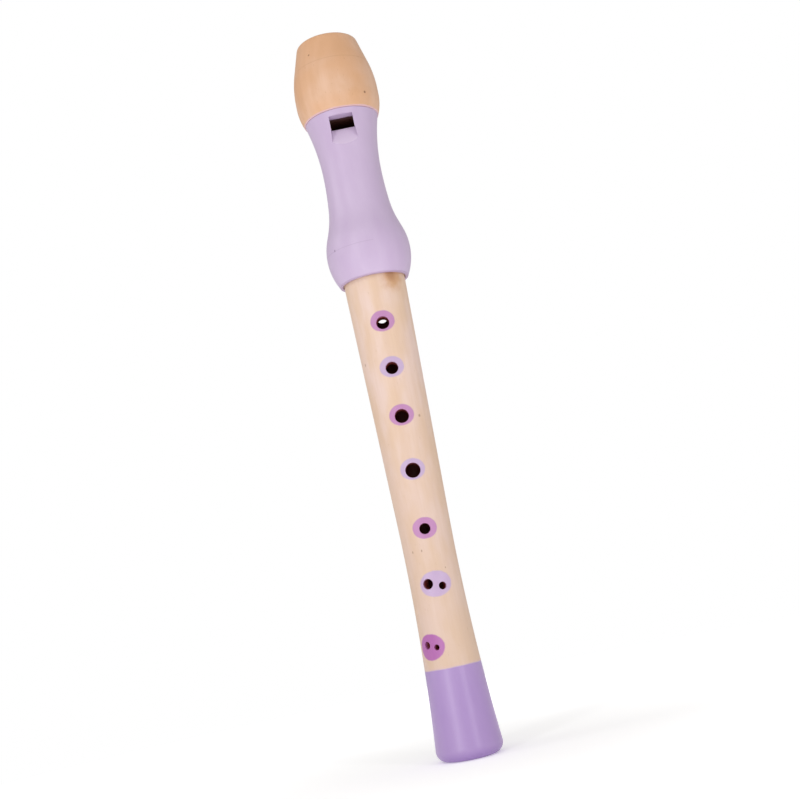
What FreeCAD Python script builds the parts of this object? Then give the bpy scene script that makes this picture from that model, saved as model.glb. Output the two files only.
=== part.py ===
"""Soprano recorder: a turned wooden school recorder as a parametric FreeCAD document.

Frame, in millimetres: Z runs up the bore, the origin is the centre of the foot's end face,
the window and the finger holes face -Y and the thumb hole faces +Y. The lowest pair of
finger holes is turned towards -X.

Pieces: foot, body_tube, tenon_cork, head_joint, beak and block. The foot is glued to the
tube and the beak to the head joint. The head joint turns and pulls off on the corked tenon,
and the block pushes out through the top of the beak.
"""
import FreeCAD, Part
import math
import os
import re
import Sketcher
from FreeCAD import Placement, Rotation, Vector

# Driving dimensions: name, value in millimetres (degrees for the angles), what it is.
# A rise is measured up the bore from the place before it, so a longer piece lifts the rest.
SIZES = (
    ("foot_length", 37.5, "foot: length, up to its glued joint with the tube"),
    ("foot_round", 4.5, "foot: rounding of the lower outside edge"),
    ("foot_chamfer", 0.8, "foot: chamfer of the bore's lower edge"),
    ("foot_bore", 4.8, "foot: radius of the straight bore"),
    ("spigot_radius", 8.5, "tube: radius of the glued spigot inside the foot"),
    ("spigot_length", 12.0, "tube: length of the glued spigot inside the foot"),
    ("slim_radius", 11.05, "tube: outside radius at its slimmest"),
    ("slim_rise", 42.5, "tube: its slimmest place, above the foot"),
    ("flare_curve", 905.0, "tube and foot: radius of the long outward curve"),
    ("taper_rise", 20.0, "tube: where the long curve ends, above the slimmest place"),
    ("shoulder_radius", 13.55, "tube: outside radius at its shoulder"),
    ("shoulder_rise", 22.8, "tube: its shoulder, above the uppermost finger hole"),
    ("thumb_rise", 6.8, "thumb hole: above the uppermost finger hole"),
    ("thumb_radius", 2.7, "thumb hole: radius"),
    ("tube_bore", 6.4, "tube: bore radius at the top of the tenon"),
    ("tenon_radius", 9.4, "tube: radius of the tenon's two collars"),
    ("tenon_collar", 4.0, "tube: length of the collar above the cork"),
    ("tenon_chamfer", 0.6, "tube: chamfer of the tenon's top edge"),
    ("cork_start", 3.0, "cork: its lower end above the shoulder"),
    ("cork_length", 14.0, "cork: length of the sleeve"),
    ("groove_depth", 1.1, "tube: depth of the groove that holds the cork"),
    ("cork_proud", 0.15, "cork: how far it stands out from the collars"),
    ("fit_clearance", 0.05, "radial clearance of a moving fit"),
    ("loose_gap", 0.3, "clearance between moving pieces that don't guide each other"),
    ("socket_spare", 0.6, "head joint: room above the tenon's end"),
    ("lip_recess", 1.4, "head joint: depth of the recess round the shoulder"),
    ("lip_wall", 1.23, "head joint: thickness of the wall at the lip"),
    ("lip_round", 0.45, "head joint: rounding of the lip"),
    ("bulge_rise", 13.2, "head joint: the bulge's crest, above the lip"),
    ("bulge_curve", 26.5, "head joint: radius of the bulge's outline"),
    ("neck_straight", 3.95, "head joint: straight stretch between the bulge and the neck"),
    ("neck_curve", 42.9, "head joint: radius of the hollow curve of the neck"),
    ("ease_curve", 157.0, "head joint: radius of the slack curve into the waist"),
    ("ease_angle", 5.6, "head joint: slope where the slack curve starts, in degrees"),
    ("waist_hollow", 5.57, "head joint: how far the waist lies in from the bulge"),
    ("seam_rise", 25.74, "head joint: its joint with the beak, above the waist"),
    ("seam_flare", 3.47, "head joint: how far it widens from the waist to that joint"),
    ("head_bore", 7.0, "head joint and beak: radius of the bore"),
    ("cap_wall", 5.6, "head joint: wall of the glued spigot inside the beak"),
    ("cap_length", 8.0, "head joint: length of the glued spigot inside the beak"),
    ("seam_step", 0.45, "beak: how far its lower edge stands out from the head joint"),
    ("beak_swell", 1.86, "beak: how far it widens from its lower edge"),
    ("beak_low_rise", 9.5, "beak: lower end of its widest stretch, above its lower edge"),
    ("beak_widest", 2.6, "beak: length of its widest stretch"),
    ("beak_bend", 11.8, "beak: length of the curve above the widest stretch"),
    ("beak_bend_drop", 1.51, "beak: how far that curve draws in"),
    ("tip_length", 13.2, "beak: length of the straight taper up to the tip"),
    ("tip_drop", 3.7, "beak: how far the straight taper draws in"),
    ("tip_round", 1.8, "beak: rounding of the tip's edge"),
    ("lip_cut_curve", 38.0, "beak: radius of the hollow for the lower lip"),
    ("lip_cut_rise", 2.0, "beak: height of the hollow's centre above the tip"),
    ("lip_cut_depth", 1.0, "beak: how far behind the axis the hollow leaves the tip"),
    ("window_width", 10.5, "window: width, the same as the windway's"),
    ("window_drop", 2.6, "window: its upper edge, and the block's end, below the beak"),
    ("window_length", 4.35, "window: from its upper edge to the labium's edge"),
    ("labium_wall", 0.35, "labium: thickness of its edge at the middle"),
    ("labium_lift", 0.3, "labium: how far its edge lies outside the windway's floor"),
    ("undercut_length", 8.0, "labium: length of the slope cut under it"),
    ("ramp_angle", 28.6, "labium: slope of the ramp, in degrees from the bore's axis"),
    ("ramp_flare", 4.6, "labium: how much each side of the ramp leans out, in degrees"),
    ("roof_step", 2.7, "windway: how far its roof lies outside the bore"),
    ("windway_height", 1.2, "windway: height from its floor to its roof"),
    ("block_chamfer", 0.5, "block: chamfer of the floor's edge at the window"),
)

# Finger holes, from the foot up: name, height above the hole before it (the lowest one's is
# above the foot), radius, turn about the bore in degrees (negative to -X).
FINGER_HOLES = (
    ("hole_seven_small", 9.3, 1.20, -25.5),
    ("hole_seven_large", 1.4, 1.60, -49.0),
    ("hole_six_small", 22.9, 1.60, 13.5),
    ("hole_six_large", 1.7, 2.15, -18.0),
    ("hole_five", 22.8, 2.30, 0.0),
    ("hole_four", 25.0, 3.20, 0.0),
    ("hole_three", 23.5, 3.00, 0.0),
    ("hole_two", 21.1, 2.70, 0.0),
    ("hole_one", 20.0, 2.80, 0.0),
)

OVERSHOOT = 8.0   # how far a cutter reaches past the surface it breaks through
HOLE_REACH = f"shoulder_radius + {OVERSHOOT}"

doc = FreeCAD.newDocument("soprano_recorder")
sheet = doc.addObject("Spreadsheet::Sheet", "sizes")


def fill_sheet():
    """Write every driving dimension into the sheet and give it its alias."""
    rows = list(SIZES)
    for name, rise, radius, turn in FINGER_HOLES:
        rows.append((name + "_rise", rise, "finger hole: height above the place before it"))
        rows.append((name + "_radius", radius, "finger hole: radius"))
        rows.append((name + "_turn", turn, "finger hole: turn about the bore, in degrees"))
    for row, (name, value, meaning) in enumerate(rows, start=1):
        sheet.set(f"A{row}", meaning)
        sheet.set(f"B{row}", str(value))
        sheet.setAlias(f"B{row}", name)
    doc.recompute()


def bound(text):
    """Turn an expression on size names into one that reads the sheet."""
    return re.sub(r"[a-z]+(?:_[a-z]+)+", lambda name: "sizes." + name.group(0), text)


def value(text):
    """Work out an expression on size names."""
    return float(sheet.evalExpression(bound(text)))


def bind(target, prop, text):
    """Bind one property of an object to an expression on size names."""
    target.setExpression(prop, bound(text))


def new_body(name):
    """Start a PartDesign body."""
    body = doc.addObject("PartDesign::Body", name)
    body.Label = name
    return body


def origin_plane(body, role):
    """Find one of a body's own origin planes."""
    return next(item for item in body.Origin.OriginFeatures if item.Role == role)


def arc_between(start, end, radius, centre_side):
    """Arc from start to end; centre_side is +1 for a centre nearer the axis, -1 for farther.

    Returns the arc and whether it runs from start to end.
    """
    chord = end - start
    middle = (start + end) * 0.5
    across = Vector(-chord.y, chord.x, 0).normalize()
    if across.x * centre_side > 0:
        across = across * -1.0
    offset = math.sqrt(radius**2 - (chord.Length / 2)**2)
    centre = middle + across * offset
    start_angle = math.atan2(start.y - centre.y, start.x - centre.x)
    end_angle = math.atan2(end.y - centre.y, end.x - centre.x)
    turn = (end_angle - start_angle) % (2 * math.pi)
    forward = turn < math.pi
    if not forward:
        start_angle, end_angle = end_angle, start_angle
    circle = Part.Circle(centre, Vector(0, 0, 1), radius)
    return Part.ArcOfCircle(circle, start_angle, end_angle), forward


def fix_point(sketch, geometry, corner, across, along):
    """Hold a corner of a sketch at two expressions measured from the origin."""
    axes = (("DistanceX", across, -2), ("DistanceY", along, -1))
    for kind, text, axis in axes:
        if text == "0":
            sketch.addConstraint(Sketcher.Constraint("PointOnObject", geometry, corner, axis))
            continue
        rule = Sketcher.Constraint(kind, -1, 1, geometry, corner, value(text))
        index = sketch.addConstraint(rule)
        bind(sketch, f"Constraints[{index}]", text)


def closed_outline(body, name, role, corners):
    """Draw a closed outline on one of the body's planes.

    A corner is (across, along), in expressions. A corner (across, along, radius, side)
    ends the piece of the outline that leads to it as an arc.
    """
    sketch = body.newObject("Sketcher::SketchObject", name)
    sketch.AttachmentSupport = [(origin_plane(body, role), "")]
    sketch.MapMode = "FlatFace"
    places = [Vector(value(corner[0]), value(corner[1]), 0) for corner in corners]
    ends = []
    for index, corner in enumerate(corners):
        start = places[index - 1]
        end = places[index]
        if len(corner) == 2:
            geometry = sketch.addGeometry(Part.LineSegment(start, end), False)
            ends.append((geometry, 1, 2))
            continue
        curve, forward = arc_between(start, end, value(corner[2]), corner[3])
        geometry = sketch.addGeometry(curve, False)
        ends.append((geometry, 1, 2) if forward else (geometry, 2, 1))
        radius = sketch.addConstraint(Sketcher.Constraint("Radius", geometry, value(corner[2])))
        bind(sketch, f"Constraints[{radius}]", corner[2])
    for index, corner in enumerate(corners):
        geometry, _, last = ends[index]
        after, first, _ = ends[(index + 1) % len(ends)]
        sketch.addConstraint(Sketcher.Constraint("Coincident", geometry, last, after, first))
        fix_point(sketch, geometry, last, corner[0], corner[1])
    return sketch


def turned(name, corners):
    """Turn an outline about the bore's axis, in a body of its own."""
    body = new_body(name)
    sketch = closed_outline(body, name + "_outline", "XZ_Plane", corners)
    turning = body.newObject("PartDesign::Revolution", name + "_turning")
    turning.Profile = sketch
    turning.ReferenceAxis = (sketch, ["V_Axis"])
    turning.Angle = 360.0
    doc.recompute()
    return body


def ring_edges(shape, rings):
    """Names of a shape's round edges at the given (radius, height) expressions."""
    wanted = [(value(radius), value(height)) for radius, height in rings]
    names = []
    for number, edge in enumerate(shape.Edges, start=1):
        if not isinstance(edge.Curve, Part.Circle):
            continue
        here = (edge.Curve.Radius, edge.Curve.Center.z)
        if any(math.dist(here, ring) < 0.001 for ring in wanted):
            names.append(f"Edge{number}")
    assert len(names) == len(rings), "a ring to finish was not found"
    return names


def edge_finish(body, kind, name, size, rings):
    """Round or chamfer the round edges of a turned body."""
    before = body.Tip
    feature = body.newObject("PartDesign::" + kind, name)
    feature.Base = (before, ring_edges(before.Shape, rings))
    bind(feature, "Radius" if kind == "Fillet" else "Size", size)
    body.Tip = feature
    doc.recompute()


def cylinder_cutter(name, radius, length, base, rotation):
    """Cylinder for a cut; base is three expressions, rotation turns it from +Z."""
    cutter = doc.addObject("Part::Cylinder", name)
    bind(cutter, "Radius", radius)
    bind(cutter, "Height", length)
    place_at(cutter, base, rotation)
    return cutter


def box_cutter(name, width, depth, height, base):
    """Box for a cut, or to add; every size and the base are expressions."""
    cutter = doc.addObject("Part::Box", name)
    bind(cutter, "Length", width)
    bind(cutter, "Width", depth)
    bind(cutter, "Height", height)
    place_at(cutter, base, Rotation())
    return cutter


def place_at(target, base, rotation):
    """Place an object at three expressions, with a fixed rotation."""
    target.Placement = Placement(Vector(0, 0, 0), rotation)
    for axis, text in zip("xyz", base):
        bind(target, f"Placement.Base.{axis}", text)


def cut(label, base, cutters):
    """Cut a list of cutters out of a base, one joined tool at a time."""
    tool = cutters[0]
    if len(cutters) > 1:
        tool = doc.addObject("Part::MultiFuse", label + "_cutters")
        tool.Shapes = cutters
    result = doc.addObject("Part::Cut", label + "_cut")
    result.Base = base
    result.Tool = tool
    result.Label = label
    doc.recompute()
    return result


# ---- sizes that follow from the driving ones -------------------------------------------

def hole_heights():
    """Height of each finger hole above the foot's end, by name."""
    heights = {}
    height = "foot_length"
    for name, *_ in FINGER_HOLES:
        height = f"{height} + {name}_rise"
        heights[name] = height
    return heights


def flare_radius(height):
    """Outside radius of the tube and foot on their long curve, at a height."""
    return f"slim_radius + flare_curve - sqrt(flare_curve^2 - ({height} - ({SLIM_HEIGHT}))^2)"


HOLE_HEIGHTS = hole_heights()
TOP_HOLE = HOLE_HEIGHTS["hole_one"]
THUMB_HEIGHT = f"{TOP_HOLE} + thumb_rise"
SPIGOT_END = "foot_length - spigot_length"
SLIM_HEIGHT = "foot_length + slim_rise"
TAPER_HEIGHT = f"{SLIM_HEIGHT} + taper_rise"
SHOULDER = f"{TOP_HOLE} + shoulder_rise"

CORK_LOW = f"{SHOULDER} + cork_start"
CORK_HIGH = f"{CORK_LOW} + cork_length"
TENON_END = f"{CORK_HIGH} + tenon_collar"
GROOVE_RADIUS = "(tenon_radius - groove_depth)"
SOCKET_RADIUS = "tenon_radius + cork_proud + fit_clearance"
SOCKET_END = f"{TENON_END} + socket_spare"

LIP_HEIGHT = f"{SHOULDER} - lip_recess"
LIP_BORE = "shoulder_radius + loose_gap"
LIP_RADIUS = f"{LIP_BORE} + lip_wall"
BULGE_RADIUS = f"({LIP_RADIUS} + bulge_curve - sqrt(bulge_curve^2 - bulge_rise^2))"
BULGE_HEIGHT = f"{LIP_HEIGHT} + bulge_rise"
WAIST_RADIUS = f"({BULGE_RADIUS} - waist_hollow)"

# The bulge, a straight stretch and two hollow curves run into each other without a kink.
# That fixes the slope of the straight stretch, for a waist as deep as waist_hollow.
CURVES = "(bulge_curve + neck_curve)"
EASED = f"(waist_hollow - (ease_curve - neck_curve) * (1 - cos(ease_angle)) - {CURVES})"
SLOPE = (f"(atan({CURVES} / neck_straight)"
         f" + asin({EASED} / sqrt({CURVES}^2 + neck_straight^2)))")
BULGE_END = f"{BULGE_HEIGHT} + bulge_curve * sin({SLOPE})"
BULGE_END_RADIUS = f"{BULGE_RADIUS} - bulge_curve * (1 - cos({SLOPE}))"
NECK_START = f"{BULGE_END} + neck_straight * cos({SLOPE})"
NECK_START_RADIUS = f"{BULGE_END_RADIUS} - neck_straight * sin({SLOPE})"
NECK_END = f"{NECK_START} + neck_curve * (sin({SLOPE}) - sin(ease_angle))"
NECK_END_RADIUS = f"{WAIST_RADIUS} + ease_curve * (1 - cos(ease_angle))"
WAIST_HEIGHT = f"{NECK_END} + ease_curve * sin(ease_angle)"

SEAM_HEIGHT = f"{WAIST_HEIGHT} + seam_rise"
SEAM_RADIUS = f"({WAIST_RADIUS} + seam_flare)"
CAP_RADIUS = "(head_bore + cap_wall)"
CAP_END = f"{SEAM_HEIGHT} + cap_length"
WINDOW_TOP = f"{SEAM_HEIGHT} - window_drop"
LABIUM_HEIGHT = f"{WINDOW_TOP} - window_length"
WINDWAY_ROOF = "(head_bore + roof_step)"
WINDWAY_FLOOR = f"({WINDWAY_ROOF} - windway_height)"
LABIUM_EDGE = f"({WINDWAY_FLOOR} + labium_lift)"

BEAK_SEAM = f"({SEAM_RADIUS} + seam_step)"
BEAK_RADIUS = f"({BEAK_SEAM} + beak_swell)"
BEAK_LOW = f"{SEAM_HEIGHT} + beak_low_rise"
BEAK_HIGH = f"{BEAK_LOW} + beak_widest"
BEAK_TAPER = f"{BEAK_HIGH} + beak_bend"
BEAK_TAPER_RADIUS = f"{BEAK_RADIUS} - beak_bend_drop"
TIP_HEIGHT = f"{BEAK_TAPER} + tip_length"
TIP_RADIUS = f"{BEAK_TAPER_RADIUS} - tip_drop"


def arc_through(drop, run):
    """Radius of an arc that leaves straight up and drops by drop over a height of run."""
    return f"(({run})^2 + ({drop})^2) / (2 * ({drop}))"


# ---- the pieces ------------------------------------------------------------------------

def make_foot():
    """Flared foot: a straight bore, a socket for the tube's spigot, a rounded edge."""
    body = turned("foot", [
        ("foot_bore", "0"),
        (flare_radius("0"), "0"),
        (flare_radius("foot_length"), "foot_length", "flare_curve", -1),
        ("spigot_radius", "foot_length"),
        ("spigot_radius", SPIGOT_END),
        ("foot_bore", SPIGOT_END),
    ])
    edge_finish(body, "Fillet", "foot_edge", "foot_round", [(flare_radius("0"), "0")])
    edge_finish(body, "Chamfer", "foot_mouth", "foot_chamfer", [("foot_bore", "0")])
    return body


def hole_cutter(name):
    """Cylinder that bores one finger hole, out from the bore's axis."""
    turn = value(name + "_turn")
    rotation = Rotation(Vector(0, 0, 1), turn).multiply(Rotation(Vector(1, 0, 0), 90))
    base = ("0", "0", HOLE_HEIGHTS[name])
    return cylinder_cutter(name, name + "_radius", HOLE_REACH, base, rotation)


def make_body_tube():
    """Long tube: glued spigot, outward curve, taper, tenon with a cork groove, and holes."""
    body = turned("body_tube_turned", [
        ("foot_bore", SPIGOT_END),
        ("spigot_radius", SPIGOT_END),
        ("spigot_radius", "foot_length"),
        (flare_radius("foot_length"), "foot_length"),
        (flare_radius(TAPER_HEIGHT), TAPER_HEIGHT, "flare_curve", -1),
        ("shoulder_radius", SHOULDER),
        ("tenon_radius", SHOULDER),
        ("tenon_radius", CORK_LOW),
        (GROOVE_RADIUS, CORK_LOW),
        (GROOVE_RADIUS, CORK_HIGH),
        ("tenon_radius", CORK_HIGH),
        ("tenon_radius", TENON_END),
        ("tube_bore", TENON_END),
    ])
    edge_finish(body, "Chamfer", "tenon_edge", "tenon_chamfer", [("tenon_radius", TENON_END)])
    cutters = [hole_cutter(hole[0]) for hole in FINGER_HOLES]
    to_the_back = Rotation(Vector(1, 0, 0), -90)
    cutters.append(cylinder_cutter("thumb_hole", "thumb_radius", HOLE_REACH,
                                   ("0", "0", THUMB_HEIGHT), to_the_back))
    return cut("body_tube", body, cutters)


def make_tenon_cork():
    """Cork sleeve that fills the tenon's groove and stands a little proud of it."""
    inner = f"{GROOVE_RADIUS} + fit_clearance"
    outer = "tenon_radius + cork_proud"
    low = f"{CORK_LOW} + fit_clearance"
    high = f"{CORK_HIGH} - fit_clearance"
    return turned("tenon_cork", [(inner, low), (outer, low), (outer, high), (inner, high)])


def windway_cutter(name, low, high):
    """Slot in front of the bore for the windway, between two heights."""
    return box_cutter(name, "window_width", WINDWAY_ROOF, f"{high} - ({low})",
                      ("-window_width / 2", f"-{WINDWAY_ROOF}", low))


def wedge_cutter(name, length, near, far):
    """Wedge that runs down from the labium's edge; near and far are its two end sections.

    A section is (half width, inner depth, outer depth), in expressions.
    """
    wedge = doc.addObject("Part::Wedge", name)
    wedge.Ymin = 0
    bind(wedge, "Ymax", length)
    for prefix, (half, inner, outer) in (("", near), ("2", far)):
        bind(wedge, f"X{prefix}min", f"-({half})")
        bind(wedge, f"X{prefix}max", half)
        bind(wedge, f"Z{prefix}min", f"-({outer})")
        bind(wedge, f"Z{prefix}max", f"-({inner})")
    place_at(wedge, ("0", "0", LABIUM_HEIGHT), Rotation(Vector(1, 0, 0), -90))
    return wedge


def ramp_cutter():
    """The ramp in front of the labium and its two sides, which lean out downwards."""
    length = f"(({BULGE_RADIUS} - {LABIUM_EDGE}) / tan(ramp_angle))"
    lower_half = f"window_width / 2 + {length} * tan(ramp_flare)"
    return wedge_cutter("ramp", length, ("window_width / 2", LABIUM_EDGE, BULGE_RADIUS),
                        (lower_half, BULGE_RADIUS, BULGE_RADIUS))


def undercut_cutter():
    """The slope under the labium, which brings its edge down to a thin wall."""
    near = ("window_width / 2", "0", f"{LABIUM_EDGE} - labium_wall")
    far = ("window_width / 2", "0", "head_bore")
    return wedge_cutter("undercut", "undercut_length", near, far)


def make_head_joint():
    """Head joint: socket and lip, bulge, waist, spigot for the beak, window and labium."""
    floor_height = f"{SHOULDER} + loose_gap"
    body = turned("head_joint_turned", [
        (LIP_BORE, LIP_HEIGHT),
        (LIP_RADIUS, LIP_HEIGHT),
        (BULGE_END_RADIUS, BULGE_END, "bulge_curve", 1),
        (NECK_START_RADIUS, NECK_START),
        (NECK_END_RADIUS, NECK_END, "neck_curve", -1),
        (WAIST_RADIUS, WAIST_HEIGHT, "ease_curve", -1),
        (SEAM_RADIUS, SEAM_HEIGHT, arc_through("seam_flare", "seam_rise"), -1),
        (CAP_RADIUS, SEAM_HEIGHT),
        (CAP_RADIUS, CAP_END),
        ("head_bore", CAP_END),
        ("head_bore", SOCKET_END),
        (SOCKET_RADIUS, SOCKET_END),
        (SOCKET_RADIUS, floor_height),
        (LIP_BORE, floor_height),
    ])
    lip_rings = [(LIP_BORE, LIP_HEIGHT), (LIP_RADIUS, LIP_HEIGHT)]
    edge_finish(body, "Fillet", "lip_edge", "lip_round", lip_rings)
    window = box_cutter("window", "window_width", BULGE_RADIUS, "window_length",
                        ("-window_width / 2", f"-{BULGE_RADIUS}", LABIUM_HEIGHT))
    windway = windway_cutter("head_windway", LABIUM_HEIGHT, CAP_END)
    return cut("head_joint", body, [window, ramp_cutter(), undercut_cutter(), windway])


def lip_hollow(name):
    """Large cylinder across the back of the beak: the hollow for the lower lip."""
    rotation = Rotation(Vector(0, 1, 0), 90)
    base = (f"-{BEAK_RADIUS}", "lip_cut_depth + lip_cut_curve", f"{TIP_HEIGHT} + lip_cut_rise")
    return cylinder_cutter(name, "lip_cut_curve", f"2 * {BEAK_RADIUS}", base, rotation)


def make_beak():
    """Beak: a turned cap with a socket for the head joint, the bore, windway and lip hollow."""
    body = turned("beak_turned", [
        (CAP_RADIUS, SEAM_HEIGHT),
        (BEAK_SEAM, SEAM_HEIGHT),
        (BEAK_RADIUS, BEAK_LOW, arc_through("beak_swell", "beak_low_rise"), 1),
        (BEAK_RADIUS, BEAK_HIGH),
        (BEAK_TAPER_RADIUS, BEAK_TAPER, arc_through("beak_bend_drop", "beak_bend"), 1),
        (TIP_RADIUS, TIP_HEIGHT),
        ("head_bore", TIP_HEIGHT),
        ("head_bore", CAP_END),
        (CAP_RADIUS, CAP_END),
    ])
    edge_finish(body, "Fillet", "tip_edge", "tip_round", [(TIP_RADIUS, TIP_HEIGHT)])
    windway = windway_cutter("beak_windway", CAP_END, f"{TIP_HEIGHT} + {OVERSHOOT}")
    return cut("beak", body, [windway, lip_hollow("beak_lip_hollow")])


def make_block():
    """Block: a plug in the bore with a flat tongue on its front, the windway's floor."""
    length = f"{TIP_HEIGHT} - ({WINDOW_TOP})"
    plug = doc.addObject("Part::Cylinder", "block_plug")
    bind(plug, "Radius", "head_bore - fit_clearance")
    bind(plug, "Height", length)
    place_at(plug, ("0", "0", WINDOW_TOP), Rotation())
    tongue = box_cutter("block_tongue", "window_width - 2 * fit_clearance", WINDWAY_FLOOR,
                        length, ("fit_clearance - window_width / 2", f"-{WINDWAY_FLOOR}",
                                 WINDOW_TOP))
    joined = doc.addObject("Part::Fuse", "block_joined")
    joined.Base = plug
    joined.Tool = tongue
    side = "block_chamfer * sqrt(2)"
    corner = box_cutter("block_edge", "2 * head_bore", side, side,
                        ("-head_bore", f"-{WINDWAY_FLOOR}", f"{WINDOW_TOP} - block_chamfer"))
    corner.Placement = Placement(Vector(0, 0, 0), Rotation(Vector(1, 0, 0), 45))
    return cut("block", joined, [corner, lip_hollow("block_lip_hollow")])


def check_and_write(pieces):
    """Stop on any failed feature, then write one STEP file for each piece."""
    doc.recompute()
    for item in doc.Objects:
        failed = {"Invalid", "Error"} & set(item.State)
        assert not failed, f"{item.Label} has failed"
    os.makedirs("parts", exist_ok=True)
    for piece in pieces:
        shape = piece.Shape
        assert not shape.isNull() and shape.isValid(), f"{piece.Label} has no valid shape"
        assert len(shape.Solids) == 1, f"{piece.Label} is {len(shape.Solids)} solids"
        shape.exportStep(f"parts/{piece.Label}.step")
        box = shape.optimalBoundingBox()
        print(f"{piece.Label:12s} {shape.Volume / 1000:8.3f} cm3  "
              f"z {box.ZMin:7.2f} to {box.ZMax:7.2f}  across {box.XLength:6.2f}")


fill_sheet()
check_and_write([make_foot(), make_body_tube(), make_tenon_cork(), make_head_joint(),
                 make_beak(), make_block()])
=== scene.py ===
# %% [markdown]
# # A soprano recorder in Blender
#
# A recorder is turned on a lathe, bored, and then cut by hand at the window. The model
# follows the same order: every piece starts as an outline that is spun round the bore,
# and the window, the finger holes and the hollow of the beak are cut out of it afterwards.
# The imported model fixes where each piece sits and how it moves; this file makes what the
# eye sees: soft edges, wood, lacquer and paint.

# %% Load the frame
import math

import bmesh
import bpy
from mathutils import Matrix, Vector


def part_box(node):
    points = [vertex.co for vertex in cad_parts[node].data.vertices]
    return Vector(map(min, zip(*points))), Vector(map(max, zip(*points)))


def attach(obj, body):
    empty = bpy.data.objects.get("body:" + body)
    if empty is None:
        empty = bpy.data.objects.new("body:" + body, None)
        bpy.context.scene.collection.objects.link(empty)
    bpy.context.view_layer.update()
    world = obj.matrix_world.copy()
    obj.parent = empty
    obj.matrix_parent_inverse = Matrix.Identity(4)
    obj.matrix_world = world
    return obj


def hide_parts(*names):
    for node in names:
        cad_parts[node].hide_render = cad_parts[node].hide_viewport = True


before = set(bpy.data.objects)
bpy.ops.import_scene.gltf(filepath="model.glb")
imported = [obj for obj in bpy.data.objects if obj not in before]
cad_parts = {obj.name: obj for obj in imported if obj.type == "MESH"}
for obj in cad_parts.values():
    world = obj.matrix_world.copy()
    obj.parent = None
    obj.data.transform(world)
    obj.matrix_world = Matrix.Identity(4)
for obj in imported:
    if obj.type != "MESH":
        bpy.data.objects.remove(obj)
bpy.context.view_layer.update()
for node_name in sorted(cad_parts):
    low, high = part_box(node_name)
    print(f"{node_name:12s} z {low[2] * 1000:7.2f} to {high[2] * 1000:7.2f} mm")

# %% [markdown]
# ## Sizes
#
# Lengths are written in millimetres and turned into metres in one place. Heights that the
# frame already knows are read from it, so the new pieces end exactly where the old ones do.
# The rest are the sizes of the outlines: a turned piece is a handful of radii and curves.

# %% Units and heights
MM = 0.001
HAIR = 0.01   # millimetres that one cutter reaches past another's edge


def top_of(node):
    """Highest point of a node, in millimetres."""
    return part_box(node)[1][2] / MM


def foot_of(node):
    """Lowest point of a node, in millimetres."""
    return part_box(node)[0][2] / MM


FOOT_LINE = top_of("foot")
SPIGOT_END = foot_of("body_tube")
TENON_END = top_of("body_tube")
LIP = foot_of("head_joint")
CAP_END = top_of("head_joint")
SEAM = foot_of("beak")
TIP = top_of("beak")
WINDOW_TOP = foot_of("block")
CORK_LOW = foot_of("tenon_cork")
CORK_HIGH = top_of("tenon_cork")
SHOULDER = LIP + 1.4
print(f"shoulder at {SHOULDER:.2f} mm, window at {WINDOW_TOP:.2f} mm, tip at {TIP:.2f} mm")

# %% Radii of the bore and of the joints between pieces
FOOT_BORE = 4.8
TUBE_BORE = 6.4
HEAD_BORE = 7.0
SPIGOT_RADIUS = 8.5
TENON_RADIUS = 9.4
CORK_GROOVE = 8.3
CORK_RADIUS = 9.55
SOCKET_RADIUS = 9.6
CAP_RADIUS = 12.6
FIT = 0.05
GAP = 0.3

# %% [markdown]
# ## Outlines
#
# A turner works with three moves: straight, round out, and hollow in. The helper below
# draws the same three. An outline is a list of (radius, height) places, and `arc_to` adds
# the points of an arc from the last place to a new one. Points about a millimetre apart
# give the boolean cuts an even mesh to work on, so the surface stays smooth beside them.

# %% Points along lines and arcs
STEP = 1.1   # millimetres between points along an outline


def line_to(outline, radius, height):
    """Add a straight run to an outline, in short steps."""
    start = Vector(outline[-1])
    end = Vector((radius, height))
    count = max(1, math.ceil((end - start).length / STEP))
    outline.extend(tuple(start.lerp(end, index / count)) for index in range(1, count + 1))


def arc_to(outline, radius, height, curve, side):
    """Add an arc of radius curve; side is +1 for a centre nearer the bore, -1 farther."""
    start = Vector(outline[-1])
    end = Vector((radius, height))
    chord = end - start
    across = Vector((-chord.y, chord.x)).normalized()
    if across.x * side > 0:
        across.negate()
    centre = (start + end) / 2 + across * math.sqrt(curve**2 - chord.length_squared / 4)
    first = math.atan2(start.y - centre.y, start.x - centre.x)
    turn = math.atan2(end.y - centre.y, end.x - centre.x) - first
    turn = (turn + math.pi) % (2 * math.pi) - math.pi
    count = max(3, math.ceil(abs(turn) * curve / STEP), math.ceil(abs(turn) / 0.26))
    for index in range(1, count + 1):
        angle = first + turn * index / count
        outline.append((centre.x + curve * math.cos(angle), centre.y + curve * math.sin(angle)))


def leaving_curve(drop, underside_shade):
    """Radius of an arc that leaves along the bore and drops by drop over run."""
    return (underside_shade**2 + drop**2) / (2 * drop)


# %% Spin an outline into a turned piece
TURNS = 192           # facets round the bore
SAME_PLACE = 1e-7     # metres within which two points are one
SHARP_DEGREES = 32    # edges that turn by more than this stay crisp


def mesh_object(name, bm):
    """Store a bmesh as a new object at the origin."""
    mesh = bpy.data.meshes.new(name)
    bm.to_mesh(mesh)
    bm.free()
    piece = bpy.data.objects.new(name, mesh)
    bpy.context.scene.collection.objects.link(piece)
    return piece


def turn_mesh(bm, angle, axis):
    """Turn a whole bmesh about the X, Y or Z axis."""
    bmesh.ops.rotate(bm, verts=bm.verts, cent=(0, 0, 0),
                     matrix=Matrix.Rotation(angle, 3, axis))


def smooth_shading(piece):
    """Shade smoothly, but keep the sharp edges crisp."""
    piece.data.polygons.foreach_set("use_smooth", [True] * len(piece.data.polygons))
    piece.data.set_sharp_from_angle(angle=math.radians(SHARP_DEGREES))
    piece.data.update()


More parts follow.
